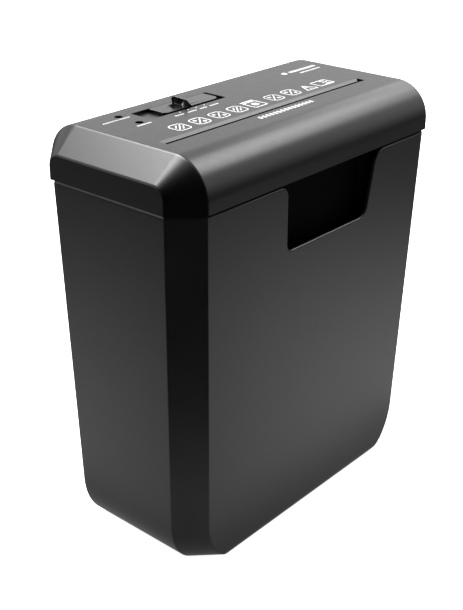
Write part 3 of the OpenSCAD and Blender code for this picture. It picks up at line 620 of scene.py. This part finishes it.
def vector(tree, operation, a, b=(0, 0, 0)):
    """One Vector Math node with a number as its result; a is a socket and b a fixed vector."""
    node = tree.nodes.new("ShaderNodeVectorMath")
    node.operation = operation
    tree.links.new(a, node.inputs[0])
    node.inputs[1].default_value = b
    return node.outputs["Value"]


def tint(tree, value, dark, light):
    """Colour between dark and light as value goes from 0.3 to 0.7."""
    node = tree.nodes.new("ShaderNodeValToRGB")
    node.color_ramp.elements[0].color = (*dark, 1)
    node.color_ramp.elements[1].color = (*light, 1)
    node.color_ramp.elements[0].position = 0.3
    node.color_ramp.elements[1].position = 0.7
    tree.links.new(value, node.inputs["Fac"])
    return node.outputs["Color"]


def plastic(name, colour, rough, grain=0.0, grain_scale=2500, spread=0.15, metallic=0.0, gloss=0.5):
    """Moulded plastic or plain metal: mottled colour and gloss, and a fine grain in the surface."""
    mat, tree, shader = new_material(name)
    coords = tree.nodes.new("ShaderNodeTexCoord").outputs["Object"]
    broad = noise(tree, coords, 40, 3)
    dark = [c * (1 - spread) for c in colour]
    light = [c * (1 + spread) for c in colour]
    tree.links.new(tint(tree, broad, dark, light), shader.inputs["Base Color"])
    fine = noise(tree, coords, 220, 2)
    tree.links.new(remap(tree, fine, 0.3, 0.7, rough * 0.94, rough * 1.06), shader.inputs["Roughness"])
    shader.inputs["Metallic"].default_value = metallic
    shader.inputs["Specular IOR Level"].default_value = gloss
    if grain:
        bump = add(tree, "ShaderNodeBump", Strength=grain, Distance=0.00005)
        tree.links.new(noise(tree, coords, grain_scale, 2, 0.6), bump.inputs["Height"])
        tree.links.new(bump.outputs["Normal"], shader.inputs["Normal"])
    return mat


def paint(obj, mat):
    obj.data.materials.clear()
    obj.data.materials.append(mat)


MOULDED = plastic("black_moulding", (0.003, 0.003, 0.0031), 0.3)
COVER = plastic("cover_black", (0.001, 0.001, 0.0011), 0.295)
# Darker and less glossy than the other black mouldings, so the housing in the notch reads black: its own
# black plastic deepened by painted shade.
INNER = plastic("inner_black", (0.0007, 0.0007, 0.0008), 0.7, 0.3, gloss=0.03)
GLOSS = plastic("gloss_black", (0.0015, 0.0015, 0.0016), 0.22)
LENS = plastic("lens", (0.003, 0.001, 0.001), 0.15)
RUBBER = plastic("rubber", (0.008, 0.008, 0.008), 0.6, 0.4)
PRINT = plastic("print_white", (0.8, 0.8, 0.8), 0.5)
# The white print also glows faintly: painted light, since the ink is no lamp.
ink = PRINT.node_tree.nodes["Principled BSDF"].inputs
ink["Emission Color"].default_value = (1, 1, 1, 1)
ink["Emission Strength"].default_value = 0.02
FINISHES = {
    "black_moulding": MOULDED, "inner_black_plastic": INNER, "gloss_black_plastic": GLOSS,
    "lens_plastic": LENS, "gland_rubber": RUBBER,
    "zinc_plate": plastic("zinc", (0.5, 0.51, 0.52), 0.35, 0.2, 900, 0.1, 1.0),
    "bright_steel": plastic("steel", (0.6, 0.6, 0.61), 0.28, 0.1, 1500, 0.06, 1.0),
    "black_screws": plastic("black_screw", (0.03, 0.03, 0.032), 0.4, 0.1, 1500, 0.1, 1.0),
    "ivory_nylon": plastic("ivory_nylon", (0.7, 0.68, 0.6), 0.45, 0.15, 1200),
    "sintered_bronze": plastic("bronze", (0.5, 0.33, 0.16), 0.4, 0.3, 3000, 0.12, 1.0),
    "cutter_steel": plastic("cutter_steel", (0.32, 0.33, 0.35), 0.32, 0.2, 1400, 0.12, 1.0),
    "sintered_steel": plastic("sintered_steel", (0.36, 0.36, 0.38), 0.5, 0.4, 3000, 0.12, 1.0),
    "gear_nylon": plastic("gear_nylon", (0.78, 0.77, 0.7), 0.4, 0.1, 1200),
    "motor_steel": plastic("motor_steel", (0.45, 0.46, 0.48), 0.3, 0.1, 1500, 0.08, 1.0),
    "ferrite": plastic("ferrite", (0.05, 0.05, 0.055), 0.6, 0.4, 1800, 0.2),
    "armature_steel": plastic("armature", (0.4, 0.26, 0.16), 0.35, 0.3, 900, 0.2, 1.0),
    "pinion_brass": plastic("pinion_brass", (0.6, 0.45, 0.2), 0.3, 0.1, 1500, 0.08, 1.0),
    "switch_plastic": plastic("switch_plastic", (0.02, 0.02, 0.022), 0.5, 0.3, 1500),
    "board_laminate": plastic("board_laminate", (0.42, 0.28, 0.1), 0.5, 0.3, 700, 0.12),
    "capacitor_resin": plastic("capacitor_resin", (0.5, 0.08, 0.03), 0.25, 0.1, 900),
    "relay_plastic": plastic("relay_plastic", (0.03, 0.1, 0.3), 0.3, 0.1, 900),
    "cutout_metal": plastic("cutout_metal", (0.6, 0.6, 0.58), 0.35, 0.1, 1500, 0.06, 1.0),
}
for part in frame["record"]["subparts"]:
    paint(nodes[part["node"]], FINISHES[part["material_slot"]])


# ------------------------------------------------------------------ pieces
def stand_for(obj, body, finish, slot, *replaced):
    """Finishes a piece that takes the place of CAD nodes."""
    paint(obj, finish)
    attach(obj, body)
    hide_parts(*replaced)


stand_for(make_top_cover(), "head", COVER, "black_moulding", "top_cover")
stand_for(make_waste_bin(), "bin", MOULDED, "black_moulding", "waste_bin")
stand_for(make_slider(), "selector", GLOSS, "gloss_black_plastic", "selector_slider")
stand_for(make_lenses(), "head", LENS, "lens_plastic", "indicator_lenses")
marks = make_marks()
paint(marks, PRINT)
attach(marks, "head")


# ------------------------------------------------------------------ stage, light and camera
def sheet(name, half, z):
    """A square of half size half at height z, facing up."""
    return mesh_object(name, [(-half, -half, z), (half, -half, z), (half, half, z), (-half, half, z)],
                       [(0, 1, 2, 3)])


def make_floor():
    """A pale, evenly lit floor; it isn't mirrored, the floor_glow card is mirrored in its place."""
    floor = sheet("floor", FLOOR_HALF, 0)
    mat, _, shader = new_material("floor_paper")
    shader.inputs["Base Color"].default_value = (0.8, 0.8, 0.8, 1)
    shader.inputs["Emission Color"].default_value = (1, 1, 1, 1)
    shader.inputs["Emission Strength"].default_value = 0.97
    shader.inputs["Roughness"].default_value = 0.9
    shader.inputs["Specular IOR Level"].default_value = 0.0
    mat.cycles.emission_sampling = "NONE"
    paint(floor, mat)
    floor.visible_glossy = False


def make_floor_glow():
    """The lit floor that the black walls mirror; only reflections see it.

    It is brightest close round the bin, fades outwards, dips right at the foot of the walls
    in a painted contact shadow, and has painted shade towards the camera.
    """
    card = sheet("floor_glow", GLOW_HALF, 1)
    mat = bpy.data.materials.new("floor_glow")
    mat.use_nodes = True
    tree = mat.node_tree
    tree.nodes.clear()
    surface = tree.nodes.new("ShaderNodeOutputMaterial")
    glow = tree.nodes.new("ShaderNodeEmission")
    tree.links.new(glow.outputs["Emission"], surface.inputs["Surface"])
    coords = tree.nodes.new("ShaderNodeTexCoord").outputs["Object"]
    split = tree.nodes.new("ShaderNodeSeparateXYZ")
    tree.links.new(coords, split.inputs[0])
    x, y = split.outputs["X"], split.outputs["Y"]
    out = remap(tree, vector(tree, "LENGTH", coords), 0.2, 0.95, 1.0, 0.17, "SMOOTHSTEP")
    # Darker towards the camera: painted shade.
    camera_side_shade = remap(tree, math_node(tree, "ADD", x, y), -0.62, 0.05, 0.0, 1.0, "SMOOTHSTEP")
    # Dimmed close to the foot of the walls: a painted contact shadow.
    beside = math_node(tree, "SUBTRACT", math_node(tree, "ABSOLUTE", x), BASE_HALF[0] * MM)
    before = math_node(tree, "SUBTRACT", math_node(tree, "ABSOLUTE", y), BASE_HALF[1] * MM)
    foot = remap(tree, math_node(tree, "MAXIMUM", beside, before), 0.0, 0.07, 0.45, 1.0, "SMOOTHSTEP")
    level = math_node(tree, "MULTIPLY", math_node(tree, "MULTIPLY", out, camera_side_shade), foot)
    tree.links.new(level, glow.inputs["Strength"])
    mat.cycles.emission_sampling = "NONE"
    paint(card, mat)
    card.visible_camera = card.visible_diffuse = card.visible_shadow = False
    card.visible_transmission = False


# Soft lights that glossy surfaces mirror: azimuth, elevation, inner and outer half angle, brightness
SPOTS = (
    (112, 44, 5, 15, 6.8),          # key light, a band along the rounded front
    (88, 43, 4, 13, 5.5),           # rest of that band
    (70, 27, 3, 11, 2.4),           # dimmer light beyond it
    (-16, 60, 10, 19, 16.0),        # left end of the head
    (16, 51, 5, 11, 17.0),          # crease between the top and the end
    (-54, 8, 3, 12, 2.5),           # rim of the bin
)
OVERHEAD = (0, 90, 10, 30, 2.1)     # the light overhead, for diffuse light only, in the same order
ROOM_SHARE = 0.3                    # how much of the room's brightness counts in diffuse light


def towards(azimuth, elevation):
    """Unit vector; the azimuth is from +Y towards +X."""
    a, e = math.radians(azimuth), math.radians(elevation)
    return Vector((math.sin(a) * math.cos(e), math.cos(a) * math.cos(e), math.sin(e)))


def soft_spot(tree, coords, azimuth, elevation, inner, outer, strength):
    """Brightness of a round soft light in the room, full within inner degrees of its middle."""
    facing = vector(tree, "DOT_PRODUCT", coords, towards(azimuth, elevation))
    lo, hi = math.cos(math.radians(outer)), math.cos(math.radians(inner))
    return remap(tree, facing, lo, hi, 0.0, strength, "SMOOTHSTEP")


def make_world():
    """A white room with soft lights in it, dimmer towards the horizon and dark behind the camera.

    The camera itself sees plain white. Diffuse light comes from a dimmed room and a light overhead.
    """
    world = bpy.data.worlds.new("studio")
    bpy.context.scene.world = world
    world.use_nodes = True
    tree = world.node_tree
    background = tree.nodes["Background"]
    background.inputs["Color"].default_value = (1, 1, 1, 1)
    coords = tree.nodes.new("ShaderNodeTexCoord").outputs["Generated"]
    split = tree.nodes.new("ShaderNodeSeparateXYZ")
    tree.links.new(coords, split.inputs[0])
    level = remap(tree, split.outputs["Z"], -0.12, 0.27, 0.09, 1.1)
    yaw = math.radians(CAMERA_YAW)
    ahead = math_node(tree, "ADD", math_node(tree, "MULTIPLY", split.outputs["X"], math.sin(yaw)),
                      math_node(tree, "MULTIPLY", split.outputs["Y"], math.cos(yaw)))
    dark = remap(tree, ahead, -0.6, -0.1, 0.0, 1.0, "SMOOTHSTEP")
    backdrop = remap(tree, ahead, 0.8, 1.0, 1.0, 1.25, "SMOOTHSTEP")
    room = math_node(tree, "MULTIPLY", math_node(tree, "MULTIPLY", level, dark), backdrop)
    mirrored = room
    for spot in SPOTS:
        mirrored = math_node(tree, "ADD", mirrored, soft_spot(tree, coords, *spot))
    path = tree.nodes.new("ShaderNodeLightPath")
    diffuse = path.outputs["Is Diffuse Ray"]
    scattered = math_node(tree, "ADD", math_node(tree, "MULTIPLY", room, ROOM_SHARE),
                          soft_spot(tree, coords, *OVERHEAD))
    bright = math_node(tree, "MULTIPLY", mirrored, math_node(tree, "SUBTRACT", 1.0, diffuse))
    seen = math_node(tree, "ADD", bright, math_node(tree, "MULTIPLY", scattered, diffuse))
    strength = math_node(tree, "MAXIMUM", seen, path.outputs["Is Camera Ray"])
    tree.links.new(strength, background.inputs["Strength"])


def make_camera():
    data = bpy.data.cameras.new("camera")
    cam = bpy.data.objects.new("camera", data)
    bpy.context.scene.collection.objects.link(cam)
    yaw, pitch, roll = (math.radians(a) for a in (CAMERA_YAW, CAMERA_PITCH, CAMERA_ROLL))
    look = Vector((math.sin(yaw) * math.cos(pitch), math.cos(yaw) * math.cos(pitch), math.sin(pitch)))
    right = Vector((math.cos(yaw), -math.sin(yaw), 0))
    up = right.cross(look)
    x_axis = right * math.cos(roll) + up * math.sin(roll)
    y_axis = -right * math.sin(roll) + up * math.cos(roll)
    turn = Matrix((x_axis, y_axis, -look)).transposed().to_4x4()
    cam.matrix_world = Matrix.Translation(Vector(CAMERA_PLACE) * MM) @ turn
    data.sensor_width = 36
    data.lens = CAMERA_LENS
    data.shift_x, data.shift_y = CAMERA_SHIFT
    data.clip_start, data.clip_end = 0.01, 100
    bpy.context.scene.camera = cam


make_floor()
make_floor_glow()
make_world()
make_camera()
bpy.context.scene.view_settings.view_transform = "Standard"
bpy.context.scene.view_settings.look = "None"
